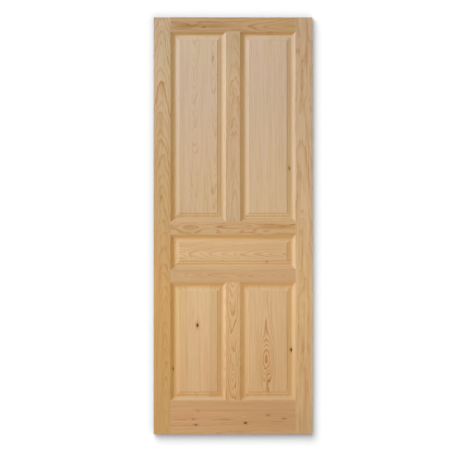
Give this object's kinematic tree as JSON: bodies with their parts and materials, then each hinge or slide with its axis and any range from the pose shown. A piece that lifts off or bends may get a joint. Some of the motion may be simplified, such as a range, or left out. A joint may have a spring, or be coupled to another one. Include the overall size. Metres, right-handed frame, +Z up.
{
  "type": "panel door leaf",
  "caption": "Framed pine door leaf with tall upper panels, a low wide middle panel and shorter lower panels, all raised and fielded, set in cove-moulded stiles, rails and muntins.",
  "frame": {"origin": "bottom of the hinge edge, at the middle of the door's thickness", "axes": "+X across the door from the hinge edge to the lock edge, +Y through the door away from the face in the picture, +Z up"},
  "size_m": [0.8, 0.035, 2.1],
  "materials": {
    "left_stile": "planed pine with a clear matt finish",
    "right_stile": "planed pine with a clear matt finish",
    "top_rail": "planed pine with a clear matt finish",
    "upper_middle_rail": "planed pine with a clear matt finish",
    "lower_middle_rail": "planed pine with a clear matt finish",
    "bottom_rail": "planed pine with a clear matt finish",
    "upper_muntin": "planed pine with a clear matt finish",
    "lower_muntin": "planed pine with a clear matt finish",
    "upper_left_panel": "planed pine with a clear matt finish",
    "upper_right_panel": "planed pine with a clear matt finish",
    "middle_panel": "planed pine with a clear matt finish",
    "lower_left_panel": "planed pine with a clear matt finish",
    "lower_right_panel": "planed pine with a clear matt finish",
    "dowels": "turned beech"
  },
  "bodies": {
    "root": {"left_stile": "left_stile", "right_stile": "right_stile", "top_rail": "top_rail", "upper_middle_rail": "upper_middle_rail", "lower_middle_rail": "lower_middle_rail", "bottom_rail": "bottom_rail", "upper_muntin": "upper_muntin", "lower_muntin": "lower_muntin", "upper_left_panel": "upper_left_panel", "upper_right_panel": "upper_right_panel", "middle_panel": "middle_panel", "lower_left_panel": "lower_left_panel", "lower_right_panel": "lower_right_panel", "top_rail_dowels": "dowels", "upper_middle_rail_dowels": "dowels", "lower_middle_rail_dowels": "dowels", "bottom_rail_dowels": "dowels", "upper_muntin_dowels": "dowels", "lower_muntin_dowels": "dowels"}
  },
  "joints": []
}
